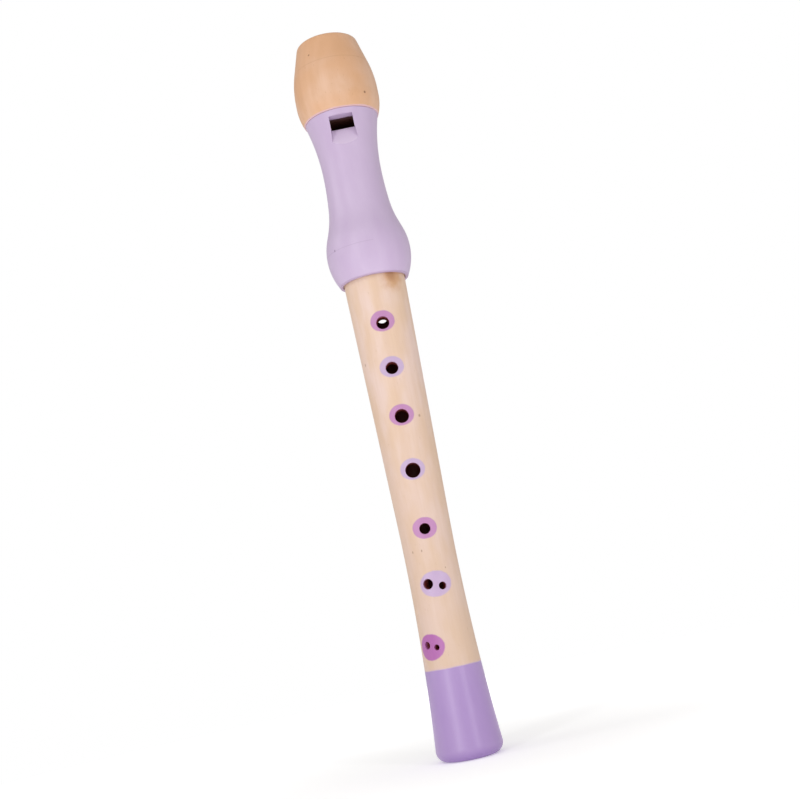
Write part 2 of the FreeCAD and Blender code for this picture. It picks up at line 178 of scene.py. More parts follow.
def spun(name, outline):
    """Spin a closed outline, in millimetres, round the bore's axis."""
    bm = bmesh.new()
    corners = [bm.verts.new((radius * MM, 0, height * MM)) for radius, height in outline]
    edges = [bm.edges.new((corners[index - 1], corners[index])) for index in range(len(corners))]
    bmesh.ops.spin(bm, geom=corners + edges, cent=(0, 0, 0), axis=(0, 0, 1),
                   angle=2 * math.pi, steps=TURNS, use_merge=True)
    bmesh.ops.remove_doubles(bm, verts=bm.verts, dist=SAME_PLACE)
    bmesh.ops.recalc_face_normals(bm, faces=bm.faces)
    return mesh_object(name, bm)


def report(piece):
    """Print a piece's size and its number of faces."""
    size = piece.dimensions / MM
    faces = len(piece.data.polygons)
    print(f"{piece.name}: {size.x:.1f} x {size.y:.1f} x {size.z:.1f} mm, {faces} faces")


# %% [markdown]
# ## Cutting
#
# Holes are cut with boolean modifiers, and each cutter carries the finish of its own edge.
# A finger hole on a real recorder has a rim that sandpaper has just broken. A bevel after
# the cut would trip over the small faces that a cut leaves, so the cutter itself opens out
# like a trumpet just under the surface, and the rim comes out round.

# %% Cut a piece with a list of cutters
def cut(piece, cutters, operation="DIFFERENCE"):
    """Take the cutters out of a piece, or join them to it, and remove them."""
    for cutter in cutters:
        modifier = piece.modifiers.new(cutter.name, "BOOLEAN")
        modifier.operation = operation
        modifier.solver = "EXACT"
        modifier.object = cutter
    bpy.context.view_layer.update()
    graph = bpy.context.evaluated_depsgraph_get()
    finished = bpy.data.meshes.new_from_object(piece.evaluated_get(graph))
    piece.modifiers.clear()
    old = piece.data
    piece.data = finished
    bpy.data.meshes.remove(old)
    piece.data.name = piece.name
    for cutter in cutters:
        bpy.data.meshes.remove(cutter.data)


# %% A cutter for a round hole with a softened rim
CUTTER_SIDES = 72
HOLE_START = 3.4     # where every cutter starts, well inside the bore
RIM = 0.25           # rounding of a rim
RIM_SHARE = 0.1      # the most of a hole's radius that its rim may take


def hole_cutter(name, height, radius, turn, surface):
    """Round cutter from the bore to past the surface, turned about the bore from -Y."""
    rim = min(RIM, RIM_SHARE * radius)
    rings = [(radius, HOLE_START), (radius, surface - 2.0), (radius, surface - rim)]
    for degrees in (18, 36, 54, 72):
        angle = math.radians(degrees)
        rings.append((radius + rim * (1 - math.cos(angle)), surface - rim * (1 - math.sin(angle))))
    rings.append((rings[-1][0] + 1.0, rings[-1][1] + 0.35))
    rings.append((rings[-1][0], rings[-1][1] + 4.0))
    bm = bmesh.new()
    bmesh.ops.create_circle(bm, cap_ends=False, segments=CUTTER_SIDES, radius=radius * MM)
    bmesh.ops.translate(bm, verts=bm.verts, vec=(0, 0, HOLE_START * MM))
    edges = bm.edges[:]
    for (before, low), (after, high) in zip(rings, rings[1:]):
        grown = bmesh.ops.extrude_edge_only(bm, edges=edges)["geom"]
        verts = [item for item in grown if isinstance(item, bmesh.types.BMVert)]
        edges = [item for item in grown if isinstance(item, bmesh.types.BMEdge)]
        bmesh.ops.scale(bm, verts=verts, vec=(after / before, after / before, 1))
        bmesh.ops.translate(bm, verts=verts, vec=(0, 0, (high - low) * MM))
    bmesh.ops.holes_fill(bm, edges=bm.edges)
    bmesh.ops.recalc_face_normals(bm, faces=bm.faces)
    for vert in bm.verts:
        if vert.co.z > (surface - 3 * rim) * MM:
            reach = min(abs(vert.co.x), surface * MM)
            vert.co.z -= surface * MM - math.sqrt((surface * MM)**2 - reach**2)
    turn_mesh(bm, math.pi / 2, "X")
    turn_mesh(bm, math.radians(turn), "Z")
    bmesh.ops.translate(bm, verts=bm.verts, vec=(0, 0, height * MM))
    return mesh_object(name, bm)


# %% A cutter with straight sides, from a flat outline
def prism(name, outline, thickness):
    """Closed outline in the YZ plane, pushed out evenly to both sides of it."""
    bm = bmesh.new()
    corners = [Vector((-thickness / 2, y, z)) * MM for y, z in outline]
    face = bm.faces.new([bm.verts.new(corner) for corner in corners])
    grown = bmesh.ops.extrude_face_region(bm, geom=[face])["geom"]
    verts = [item for item in grown if isinstance(item, bmesh.types.BMVert)]
    bmesh.ops.translate(bm, verts=verts, vec=Vector((thickness, 0, 0)) * MM)
    bmesh.ops.recalc_face_normals(bm, faces=bm.faces)
    return mesh_object(name, bm)


# %% [markdown]
# ## The tube and the foot
#
# The tube narrows from its shoulder in a straight taper, then swings out again in one long
# curve that runs on through the foot. Both pieces use the same curve, so they meet flush.

# %% Sizes of the tube and the foot
SLIM_RADIUS = 11.05
SLIM_HEIGHT = 80.0
FLARE_CURVE = 905.0
TAPER_HEIGHT = 100.0
SHOULDER_RADIUS = 13.55
FOOT_ROUND = 4.5
CORK_START = 3.0
CORK_LENGTH = 14.0
CORK_ROUND = 0.5
FOOT_EDGE = 0.8
SHOULDER_EDGE = 0.3
TENON_EDGE = 0.6


def flare(height):
    """Outside radius on the long curve."""
    return SLIM_RADIUS + FLARE_CURVE - math.sqrt(FLARE_CURVE**2 - (height - SLIM_HEIGHT)**2)


# %% Turn the foot
def foot_outline():
    """Bore, socket for the spigot, flared outside, rounded lower edge."""
    edge_height = FOOT_ROUND * 0.95
    outline = [(FOOT_BORE + FOOT_EDGE, 0)]
    line_to(outline, flare(0) - FOOT_ROUND, 0)
    arc_to(outline, flare(edge_height), edge_height, FOOT_ROUND, 1)
    arc_to(outline, flare(FOOT_LINE), FOOT_LINE, FLARE_CURVE, -1)
    line_to(outline, SPIGOT_RADIUS, FOOT_LINE)
    line_to(outline, SPIGOT_RADIUS, SPIGOT_END)
    line_to(outline, FOOT_BORE, SPIGOT_END)
    line_to(outline, FOOT_BORE, FOOT_EDGE)
    return outline


foot = spun("foot_lacquered", foot_outline())
smooth_shading(foot)
report(foot)

# %% Places and sizes of the finger holes
# Height, radius, and turn from -Y towards +X in degrees, from the top; the thumb's comes last.
FINGER_HOLES = {
    "hole_one": (185.2, 2.80, 0.0),
    "hole_two": (165.2, 2.70, 0.0),
    "hole_three": (144.1, 3.00, 0.0),
    "hole_four": (120.6, 3.20, 0.0),
    "hole_five": (95.6, 2.30, 0.0),
    "hole_six_large": (72.8, 2.15, -18.0),
    "hole_six_small": (71.1, 1.60, 13.5),
    "hole_seven_large": (48.2, 1.60, -49.0),
    "hole_seven_small": (46.8, 1.20, -25.5),
    "thumb_hole": (192.0, 2.70, 180.0),
}


def tube_radius(height):
    """Outside radius of the tube at a height."""
    if height < TAPER_HEIGHT:
        return flare(height)
    share = (height - TAPER_HEIGHT) / (SHOULDER - TAPER_HEIGHT)
    return flare(TAPER_HEIGHT) + share * (SHOULDER_RADIUS - flare(TAPER_HEIGHT))


# %% Turn the tube and bore its holes
def tube_outline():
    """Spigot, long curve, taper, shoulder, tenon with the cork's groove, conical bore."""
    groove_low = SHOULDER + CORK_START
    groove_high = groove_low + CORK_LENGTH
    outline = [(FOOT_BORE, SPIGOT_END)]
    line_to(outline, SPIGOT_RADIUS, SPIGOT_END)
    line_to(outline, SPIGOT_RADIUS, FOOT_LINE)
    line_to(outline, flare(FOOT_LINE), FOOT_LINE)
    arc_to(outline, flare(TAPER_HEIGHT), TAPER_HEIGHT, FLARE_CURVE, -1)
    line_to(outline, SHOULDER_RADIUS, SHOULDER - SHOULDER_EDGE)
    line_to(outline, SHOULDER_RADIUS - SHOULDER_EDGE, SHOULDER)
    line_to(outline, TENON_RADIUS, SHOULDER)
    line_to(outline, TENON_RADIUS, groove_low)
    line_to(outline, CORK_GROOVE, groove_low)
    line_to(outline, CORK_GROOVE, groove_high)
    line_to(outline, TENON_RADIUS, groove_high)
    line_to(outline, TENON_RADIUS, TENON_END - TENON_EDGE)
    line_to(outline, TENON_RADIUS - TENON_EDGE, TENON_END)
    line_to(outline, TUBE_BORE, TENON_END)
    line_to(outline, FOOT_BORE, SPIGOT_END)
    return outline[:-1]


tube = spun("body_tube_wood", tube_outline())
cut(tube, [hole_cutter(name, height, radius, turn, tube_radius(height))
           for name, (height, radius, turn) in FINGER_HOLES.items()])
smooth_shading(tube)
report(tube)

# %% Cork sleeve, a little rounded where the socket has squeezed it
def cork_outline():
    """Sleeve with its two ends pressed round."""
    outline = [(CORK_GROOVE + FIT, CORK_LOW)]
    line_to(outline, CORK_RADIUS - CORK_ROUND, CORK_LOW)
    arc_to(outline, CORK_RADIUS, CORK_LOW + CORK_ROUND, CORK_ROUND, 1)
    line_to(outline, CORK_RADIUS, CORK_HIGH - CORK_ROUND)
    arc_to(outline, CORK_RADIUS - CORK_ROUND, CORK_HIGH, CORK_ROUND, 1)
    line_to(outline, CORK_GROOVE + FIT, CORK_HIGH)
    line_to(outline, CORK_GROOVE + FIT, CORK_LOW)
    return outline[:-1]


cork = spun("tenon_cork_sheet", cork_outline())
smooth_shading(cork)
report(cork)

# %% [markdown]
# ## The head joint
#
# Its outline is a round bulge over the socket, a straight slope, and two hollow curves that
# meet at the waist. The window is cut with two tools, as a maker does: a chisel straight in
# for the opening, and a knife at a slant for the ramp, whose sides lean out a little.

# %% Turn the head joint
LIP_ROUND = 0.45
LIP_BORE = SHOULDER_RADIUS + GAP
LIP_RADIUS = LIP_BORE + 1.23
BULGE_RISE = 13.2
BULGE_CURVE = 26.5
BULGE_HEIGHT = LIP + BULGE_RISE
BULGE_RADIUS = LIP_RADIUS + BULGE_CURVE - math.sqrt(BULGE_CURVE**2 - BULGE_RISE**2)
NECK_STRAIGHT = 3.95
NECK_CURVE = 42.9
EASE_CURVE = 157.0
EASE_ANGLE = math.radians(5.6)
WAIST_HOLLOW = 5.57
SEAM_FLARE = 3.47
SOCKET_END = TENON_END + 0.6
SOCKET_EDGE = 0.3


def neck_slope():
    """Slope between the bulge and the neck that leaves the waist as hollow as it is."""
    curves = BULGE_CURVE + NECK_CURVE
    eased = WAIST_HOLLOW - (EASE_CURVE - NECK_CURVE) * (1 - math.cos(EASE_ANGLE)) - curves
    return math.atan2(curves, NECK_STRAIGHT) + math.asin(eased / math.hypot(curves, NECK_STRAIGHT))


def head_outline():
    """Lip, bulge, neck, waist, spigot inside the beak, bore, socket, recess."""
    slope = neck_slope()
    waist = BULGE_RADIUS - WAIST_HOLLOW
    bulge_end = (BULGE_RADIUS - BULGE_CURVE * (1 - math.cos(slope)),
                 BULGE_HEIGHT + BULGE_CURVE * math.sin(slope))
    neck_start = (bulge_end[0] - NECK_STRAIGHT * math.sin(slope),
                  bulge_end[1] + NECK_STRAIGHT * math.cos(slope))
    neck_end = (waist + EASE_CURVE * (1 - math.cos(EASE_ANGLE)),
                neck_start[1] + NECK_CURVE * (math.sin(slope) - math.sin(EASE_ANGLE)))
    waist_height = neck_end[1] + EASE_CURVE * math.sin(EASE_ANGLE)
    lip_top = LIP + LIP_ROUND
    lip_side = BULGE_RADIUS - BULGE_CURVE + math.sqrt(
        BULGE_CURVE**2 - (BULGE_HEIGHT - lip_top)**2)
    outline = [(LIP_BORE + LIP_ROUND, LIP)]
    line_to(outline, LIP_RADIUS - LIP_ROUND, LIP)
    arc_to(outline, lip_side, lip_top, LIP_ROUND * 1.15, 1)
    arc_to(outline, *bulge_end, BULGE_CURVE, 1)
    line_to(outline, *neck_start)
    arc_to(outline, *neck_end, NECK_CURVE, -1)
    arc_to(outline, waist, waist_height, EASE_CURVE, -1)
    arc_to(outline, waist + SEAM_FLARE, SEAM, leaving_curve(SEAM_FLARE, SEAM - waist_height), -1)
    outline[-1] = (waist + SEAM_FLARE - 0.05, SEAM - 0.2)
    line_to(outline, waist + SEAM_FLARE - 0.3, SEAM)
    line_to(outline, CAP_RADIUS, SEAM)
    line_to(outline, CAP_RADIUS, CAP_END)
    line_to(outline, HEAD_BORE, CAP_END)
    line_to(outline, HEAD_BORE, SOCKET_END)
    line_to(outline, SOCKET_RADIUS, SOCKET_END)
    line_to(outline, SOCKET_RADIUS, SHOULDER + GAP + SOCKET_EDGE)
    line_to(outline, SOCKET_RADIUS + SOCKET_EDGE, SHOULDER + GAP)
    line_to(outline, LIP_BORE, SHOULDER + GAP)
    line_to(outline, LIP_BORE, lip_top)
    arc_to(outline, LIP_BORE + LIP_ROUND, LIP, LIP_ROUND, -1)
    return outline[:-1]


head = spun("head_joint_lacquered", head_outline())

# %% Cut the window, the windway, the ramp and the slope under the labium
WINDOW_WIDTH = 10.5
WINDWAY_ROOF = 9.7
WINDWAY_FLOOR = 8.5
LABIUM = WINDOW_TOP - 4.35
LABIUM_EDGE = WINDWAY_FLOOR + 0.3
LABIUM_WALL = 0.35
UNDERCUT = 8.0
RAMP_ANGLE = math.radians(28.6)
RAMP_FLARE = math.radians(4.6)
INSIDE = HEAD_BORE * 0.6


def ramp_cutter():
    """Wedge in front of the labium whose sides lean out towards its lower end."""
    drop = (BULGE_RADIUS - LABIUM_EDGE) / math.tan(RAMP_ANGLE)
    wedge = prism("ramp", [(-LABIUM_EDGE, LABIUM + HAIR), (-BULGE_RADIUS, LABIUM + HAIR),
                           (-BULGE_RADIUS, LABIUM - drop)], WINDOW_WIDTH)
    lean = math.tan(RAMP_FLARE) * 2 / WINDOW_WIDTH
    for vert in wedge.data.vertices:
        vert.co.x *= 1 + lean * (LABIUM - vert.co.z / MM)
    return wedge


def slot(name, front, low, high):
    """Box as wide as the window, from inside the bore out to front."""
    return prism(name, [(-INSIDE, low), (-front, low), (-front, high), (-INSIDE, high)],
                 WINDOW_WIDTH)


undercut = prism("undercut", [
    (-INSIDE, LABIUM + HAIR), (LABIUM_WALL - LABIUM_EDGE, LABIUM + HAIR),
    (-HEAD_BORE, LABIUM - UNDERCUT), (-INSIDE, LABIUM - UNDERCUT)], WINDOW_WIDTH)
cut(head, [slot("window", BULGE_RADIUS, LABIUM, WINDOW_TOP), ramp_cutter(), undercut,
           slot("windway", WINDWAY_ROOF, LABIUM + 0.3, CAP_END + 2)])
smooth_shading(head)
report(head)

# %% [markdown]
# ## The beak and the block
#
# The beak is turned like the rest, then its back is hollowed for the lower lip with one
# large round cutter. The block is a plug in the bore. It is hollowed by the same cutter, so
# the two pieces make one smooth surface where the player's lip rests.

# %% Turn and hollow the beak
BEAK_RADIUS = 18.81
BEAK_STEP = 0.45   # how far the beak stands proud of the head joint
BEAK_SEAM = BULGE_RADIUS - WAIST_HOLLOW + SEAM_FLARE + BEAK_STEP
BEAK_EDGE = 0.25
BEAK_LOW = 292.4
BEAK_HIGH = 295.0
BEAK_TAPER = 306.8
BEAK_TAPER_RADIUS = 17.3
TIP_RADIUS = 13.6
TIP_ROUND = 1.8
HOLLOW_CURVE = 38.0
HOLLOW_WIDTH = 60.0
HOLLOW_FACETS = 360


def beak_outline():
    """Socket, lower edge, belly, taper, rounded tip, bore."""
    outline = [(CAP_RADIUS, SEAM)]
    line_to(outline, BEAK_SEAM - BEAK_EDGE, SEAM)
    line_to(outline, BEAK_SEAM, SEAM + BEAK_EDGE)
    low_curve = leaving_curve(BEAK_RADIUS - BEAK_SEAM, BEAK_LOW - SEAM - BEAK_EDGE)
    arc_to(outline, BEAK_RADIUS, BEAK_LOW, low_curve, 1)
    line_to(outline, BEAK_RADIUS, BEAK_HIGH)
    high_curve = leaving_curve(BEAK_RADIUS - BEAK_TAPER_RADIUS, BEAK_TAPER - BEAK_HIGH)
    arc_to(outline, BEAK_TAPER_RADIUS, BEAK_TAPER, high_curve, 1)
    lean = (BEAK_TAPER_RADIUS - TIP_RADIUS) / (TIP - BEAK_TAPER)
    round_start = TIP - TIP_ROUND * 0.8
    line_to(outline, TIP_RADIUS + lean * (TIP - round_start), round_start)
    arc_to(outline, TIP_RADIUS - TIP_ROUND * 0.75, TIP, TIP_ROUND, 1)
    line_to(outline, HEAD_BORE, TIP)
    line_to(outline, HEAD_BORE, CAP_END)
    line_to(outline, CAP_RADIUS, CAP_END)
    line_to(outline, CAP_RADIUS, SEAM)
    return outline[:-1]


def hollow_cutter(name):
    """Large cylinder across the back of the beak."""
    bm = bmesh.new()
    bmesh.ops.create_cone(bm, cap_ends=True, segments=HOLLOW_FACETS,
                          radius1=HOLLOW_CURVE * MM, radius2=HOLLOW_CURVE * MM,
                          depth=HOLLOW_WIDTH * MM)
    turn_mesh(bm, math.pi / 2, "Y")
    bmesh.ops.translate(bm, verts=bm.verts, vec=Vector((0, 1 + HOLLOW_CURVE, TIP + 2)) * MM)
    return mesh_object(name, bm)


beak = spun("beak_wood", beak_outline())
cut(beak, [slot("beak_windway", WINDWAY_ROOF, CAP_END - 1, TIP + 3), hollow_cutter("hollow")])
smooth_shading(beak)
report(beak)

# %% Shape the block
BLOCK_FACETS = 144
TONGUE_EDGE = 0.5


def make_block():
    """Join a turned plug to its flat tongue, ease the tongue's end, hollow the back."""
    length = (TIP - WINDOW_TOP) * MM
    middle = Vector((0, 0, (TIP + WINDOW_TOP) / 2 * MM))
    plug = bmesh.new()
    bmesh.ops.create_cone(plug, cap_ends=True, segments=BLOCK_FACETS,
                          radius1=(HEAD_BORE - FIT) * MM, radius2=(HEAD_BORE - FIT) * MM,
                          depth=length)
    bmesh.ops.translate(plug, verts=plug.verts, vec=middle)
    tongue = bmesh.new()
    bmesh.ops.create_cube(tongue, size=1)
    bmesh.ops.scale(tongue, verts=tongue.verts,
                    vec=((WINDOW_WIDTH - 2 * FIT) * MM, WINDWAY_FLOOR * MM, length))
    bmesh.ops.translate(tongue, verts=tongue.verts,
                        vec=middle - Vector((0, WINDWAY_FLOOR / 2 * MM, 0)))
    front = [edge for edge in tongue.edges if all(
        vert.co.y < -(WINDWAY_FLOOR - HAIR) * MM and vert.co.z < (WINDOW_TOP + 1) * MM
        for vert in edge.verts)]
    bmesh.ops.bevel(tongue, geom=front, offset=TONGUE_EDGE * MM, segments=2, profile=0.5,
                    affect="EDGES", material=-1)
    made = mesh_object("block_cedar", plug)
    cut(made, [mesh_object("block_tongue", tongue)], "UNION")
    cut(made, [hollow_cutter("block_hollow")])
    smooth_shading(made)
    return made


block = make_block()
report(block)

# %% [markdown]
# ## Drilled and bare surfaces
#
# Paint stops where the tool went in after it: the bore and the walls of the finger holes are
# bare wood, darkened by oil, and darker still with painted shade for the shade inside them.
# Stored numbers say so, and the materials read them.
# `drilled` runs from 0 at the rim to 1 inside a hole, `bare` is 1 on wood that was never
# painted, such as the socket, and `ramp_painted_light` is 1 on the ramp, whose lacquer is painted
# lighter: painted light, as the ramp faces up into the light.
# On the tube the number sits on the vertices, so that it fades in below the rim of a hole.
# On the other pieces it sits on the faces, so that it stops dead at an edge.

# %% Mark the surfaces
TOUCH = 0.05        # millimetres within which a face lies on a surface
FADE_START = 0.25   # millimetres below a rim where the wood starts to darken
FADE = 0.5          # and over which it does


def mark(piece, name, rule, domain="FACE"):
    """Store a number on every face or vertex.

    The rule works it out from the radius and height of the place, in millimetres, and from
    how far its normal points away from the axis and up, from -1 to 1.
    """
    layer = piece.data.attributes.new(name, "FLOAT", domain)
    if domain == "FACE":
        places = [(face.center, face.normal) for face in piece.data.polygons]
    else:
        places = [(vert.co, vert.normal) for vert in piece.data.vertices]
    numbers = []
    for place, normal in places:
        radius = max(math.hypot(place.x, place.y), 1e-6)
        outward = (place.x * normal.x + place.y * normal.y) / radius
        numbers.append(float(rule(radius / MM, place.z / MM, outward, normal.z)))
    layer.data.foreach_set("value", numbers)
    print(f"{piece.name}: {name} at {sum(number > 0.5 for number in numbers)} places")


def drilled_tube(radius, height, *_):
    """Bore and finger holes of the tube."""
    if radius < TUBE_BORE + TOUCH:
        return 1.0
    if FOOT_LINE + 0.2 < height < SHOULDER - 0.4:
        return min(1.0, max(0.0, (tube_radius(height) - radius - FADE_START) / FADE))
    return 0.0


def drilled_bore(radius, height, outward, _):
    """Bore of the head joint and the beak, up to a millimetre short of the tip."""
    return radius < HEAD_BORE + 0.1 and outward < -0.5 and TENON_END < height < TIP - 1


def bare_head(radius, height, *_):
    """Socket, recess, bore and the spigot inside the beak."""
    inside_socket = height < SHOULDER + 25 and radius < LIP_BORE + 0.02
    inside_bore = radius < HEAD_BORE + TOUCH
    inside_beak = height > SEAM - 0.1 and radius < CAP_RADIUS + 0.1
    inside_windway = height > LABIUM + 0.1 and radius < WINDWAY_ROOF + TOUCH
    return inside_socket or inside_bore or inside_beak or inside_windway


def ramp_of_head(radius, height, _, upward):
    """The ramp in front of the labium, the only painted face there that looks upwards."""
    return upward > 0.3 and LABIUM - 8 < height < LABIUM + 0.1 and radius > HEAD_BORE + 1


mark(tube, "drilled", drilled_tube, "POINT")
mark(head, "drilled", drilled_bore)
mark(head, "bare", bare_head)
mark(head, "ramp_painted_light", ramp_of_head)
mark(foot, "drilled", lambda radius, *_: radius < FOOT_BORE + 0.1)
mark(beak, "drilled", drilled_bore)

# %% [markdown]
# ## Where each piece belongs
#
# Each new piece stands for one node of the imported model and rides on that node's body, so
# the head joint turns and pulls off the tube with its beak and block.

# %% Ride and replace
PIECES = (
    (foot, "foot", "tube"),
    (tube, "body_tube", "tube"),
    (cork, "tenon_cork", "cork_ring"),
    (head, "head_joint", "head"),
    (beak, "beak", "head"),
    (block, "block", "block"),
)
for piece, node_name, body_name in PIECES:
    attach(piece, body_name)
    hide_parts(node_name)
    print(f"{piece.name} stands for {node_name} on {body_name}")

# %% [markdown]
# ## A small language for materials
#
# A material is a formula over the surface. Writing it as node calls buries the formula, so
# one class wraps a socket and lets Python's own operators add the Math nodes. Everything
# that isn't arithmetic goes through `node`, which sets a node's options first and then its
# inputs.

# %% The socket class
class Field:
    """One output socket of a material, with arithmetic."""

    def __init__(self, material, socket):
        self.material = material
        self.socket = socket

    def _math(self, operation, *values):
        return self.material.node("ShaderNodeMath", {"operation": operation}, list(values))

    def __add__(self, other):
        return self._math("ADD", self, other)

    def __radd__(self, other):
        return self._math("ADD", other, self)

    def __sub__(self, other):
        return self._math("SUBTRACT", self, other)

    def __rsub__(self, other):
        return self._math("SUBTRACT", other, self)

    def __mul__(self, other):
        return self._math("MULTIPLY", self, other)

    def __rmul__(self, other):
        return self._math("MULTIPLY", other, self)

    def __truediv__(self, other):
        return self._math("DIVIDE", self, other)

    def __rtruediv__(self, other):
        return self._math("DIVIDE", other, self)

    def __gt__(self, other):
        return self._math("GREATER_THAN", self, other)

    def __lt__(self, other):
        return self._math("LESS_THAN", self, other)

    def root(self):
        return self._math("SQRT", self)

    def at_most(self, other):
        return self._math("MINIMUM", self, other)


class Finish:
    """A material under construction, with helpers for the nodes that it needs."""

    def __init__(self, name):
        self.data = bpy.data.materials.new(name)
        self.data.use_nodes = True
        self.tree = self.data.node_tree
        self.shader = self.tree.nodes["Principled BSDF"]
        self.place = self.node("ShaderNodeTexCoord", {}, [], "Object")

    def node(self, kind, settings, values, output=0):
        """Add a node: options first, then inputs by order or by name."""
        made = self.tree.nodes.new(kind)
        for name, setting in settings.items():
            setattr(made, name, setting)
        pairs = values.items() if isinstance(values, dict) else enumerate(values)
        for key, value in pairs:
            self._feed(made.inputs[key], value)
        return Field(self, made.outputs[output])

    def _feed(self, socket, value):
        if isinstance(value, Field):
            self.tree.links.new(value.socket, socket)
        else:
            socket.default_value = value

    def axes(self):
        """The three Object coordinates, in metres."""
        return [self.node("ShaderNodeSeparateXYZ", {}, [self.place], axis) for axis in "XYZ"]

    def noise(self, scale, detail=3.0, roughness=0.5):
        """Noise from 0 to 1; scale is per metre along X, Y and Z."""
        stretched = self.node("ShaderNodeMapping", {"vector_type": "POINT"},
                              {"Vector": self.place, "Scale": scale})
        return self.node("ShaderNodeTexNoise", {},
                         {"Vector": stretched, "Scale": 1.0, "Detail": detail,
                          "Roughness": roughness}, "Fac")

    def attribute(self, name):
        """A number stored on the vertices or the faces."""
        return self.node("ShaderNodeAttribute", {"attribute_name": name}, [], "Fac")

    def between(self, value, low, high):
        """Smooth step, 0 where the value is low and 1 where it is high."""
        return self.node("ShaderNodeMapRange", {"interpolation_type": "SMOOTHSTEP"},
                         {"Value": value, "From Min": low, "From Max": high})

    def mix(self, share, first, second):
        """Mix two colours."""
        return self.node("ShaderNodeMix", {"data_type": "RGBA"},
                         {0: share, 6: first, 7: second}, 2)

    def bump(self, height, distance, strength):
        """Bump from a height field; distance is in metres."""
        return self.node("ShaderNodeBump", {},
                         {"Strength": strength, "Distance": distance, "Height": height})

    def finish(self, **inputs):
        """Connect or set the shader's inputs, named with underscores."""
        for name, value in inputs.items():
            self._feed(self.shader.inputs[name.replace("_", " ").title()], value)
        return self.data


def colour(red, green, blue):
    """Colour from 0 to 255 values, as the linear values that shaders use."""
    linear = []
    for channel in (red, green, blue):
        share = channel / 255
        linear.append(share / 12.92 if share <= 0.04045 else ((share + 0.055) / 1.055)**2.4)
    return (*linear, 1.0)


# %% [markdown]
# ## Wood
#
# Maple and pear have a close, even grain: soft clouds of warmer and paler wood, fine fibres
# along the piece, faint growth layers, and short flecks where the rays come out. The layers
# are real solids, so the shader measures the distance to the tree's heart, a line beside
# the recorder, and the layers cut the turned surface as they do on real wood: straight on
# the tube, arched on the bulges.

# %% Grain shared by every wooden piece
OILED_AND_SHADED = colour(150, 70, 62)   # wood darkened by oil, and darker with painted shade inside the bore and the holes
# X and Y of the tree's heart, in metres: the layers lie round it.
TUBE_HEART = (0.045, 0.062)
BEAK_HEART = (0.030, -0.060)
BLOCK_HEART = (0.02, 0.03)


def grain(finish, heart, layers_per_metre, seed):
    """Growth layers, fibres, clouds and flecks, each from 0 to 1."""
    x, y, z = finish.axes()
    drift = finish.noise((14, 14, 5.0 + seed), 2.0)
    far_x = x - heart[0] + (drift - 0.5) * 0.008
    far_y = y - heart[1]
    distance = (far_x * far_x + far_y * far_y).root()
    wave = finish.node("ShaderNodeMath", {"operation": "SINE"},
                       [distance * (math.tau * layers_per_metre)])
    layers = wave * 0.5 + 0.5
    fibres = finish.noise((1300, 1300, 40 + seed), 4.0, 0.6)
    cloud = finish.noise((95, 95, 34 + seed), 3.0, 0.55)
    fleck_noise = finish.noise((1500, 1500, 520 + seed), 2.0, 0.5)
    flecks = finish.between(fleck_noise, 0.68, 0.76)
    return layers, fibres, cloud, flecks


def ring(finish, height_field, height, half_width):
    """1 on a thin line round the piece at a height in millimetres, 0 off it."""
    off = finish.node("ShaderNodeMath", {"operation": "ABSOLUTE"}, [height_field - height * MM])
    return finish.between(off, half_width * MM, half_width * MM * 0.3)


def darken_holes(finish, base):
    """Dark oiled wood, with painted shade, wherever a drill has been."""
    return finish.mix(finish.attribute("drilled"), base, OILED_AND_SHADED)


# %% [markdown]
# The tube is pale, sealed with a thin satin oil. Its paint spots are measured on the surface:
# each spot is an oval about its finger hole, slightly wider round the tube than along it, and
# its edge wanders by a tenth of a millimetre, as dabbed paint does. The same oval, drawn
# softer, makes the brown knot under the head joint and the few dark specks in the wood.

# %% Ovals on the surface
def oval(finish, axes, wander, height, turn, half_width, half_height, soft=0.03):
    """1 inside an oval about a place on the surface, 0 outside it."""
    x, y, z = axes
    angle = math.radians(turn)
    across = x * math.cos(angle) + y * math.sin(angle)
    facing = x * math.sin(angle) - y * math.cos(angle)
    round_it = finish.node("ShaderNodeMath", {"operation": "ARCTAN2"}, [across, facing])
    wide = round_it * (x * x + y * y).root() / (half_width * MM)
    tall = (z - height * MM) / (half_height * MM)
    reach = (wide * wide + tall * tall).root() + wander
    return finish.between(reach, 1 + soft, 1 - soft)


def ragged(finish):
    """How far the edge of a knot, a speck or a chip wanders in and out."""
    return (finish.noise((420, 420, 420), 3.0) - 0.5) * 0.9


# Height, turn, half the width and half the height of each oval, in millimetres and degrees.
PINK = colour(186, 129, 180)
LILAC = colour(191, 166, 202)
# The seventh spot's pink is darker: painted shade, as that spot sits on the side of the tube.
SHADED_PINK = colour(172, 96, 168)
SPOTS = (
    (186.0, 0.0, 5.40, 4.60, PINK),
    (165.7, 0.0, 5.35, 4.50, LILAC),
    (144.6, 0.0, 5.45, 4.55, PINK),
    (121.1, 0.0, 5.40, 4.55, LILAC),
    (95.9, 0.0, 5.30, 4.50, PINK),
    (72.4, -1.0, 6.90, 5.35, LILAC),
    (47.2, -40.0, 6.60, 5.40, SHADED_PINK),
    (192.6, 180.0, 5.40, 4.60, LILAC),
)
SPECKS = ((86.9, -38.9, 0.28, 0.5), (86.8, -16.6, 0.28, 0.5), (78.2, 28.0, 0.25, 0.4),
          (143.1, 37.5, 0.5, 0.6), (169.7, -60.2, 0.35, 0.7), (158.0, 96.0, 0.3, 0.6),
          (112.0, 150.0, 0.35, 0.7), (66.0, -140.0, 0.3, 0.5))
KNOT = (205.0, 36.0, 4.6, 5.2)
KNOT_HEART = (205.6, 34.0, 2.0, 2.4)
BEAK_SPECKS = ((310.8, -31.7, 0.45, 0.45), (288.8, 42.7, 0.5, 0.5), (303.0, 120.0, 0.45, 0.45))
CHIP = (220.8, -49.6, 0.4, 0.5)


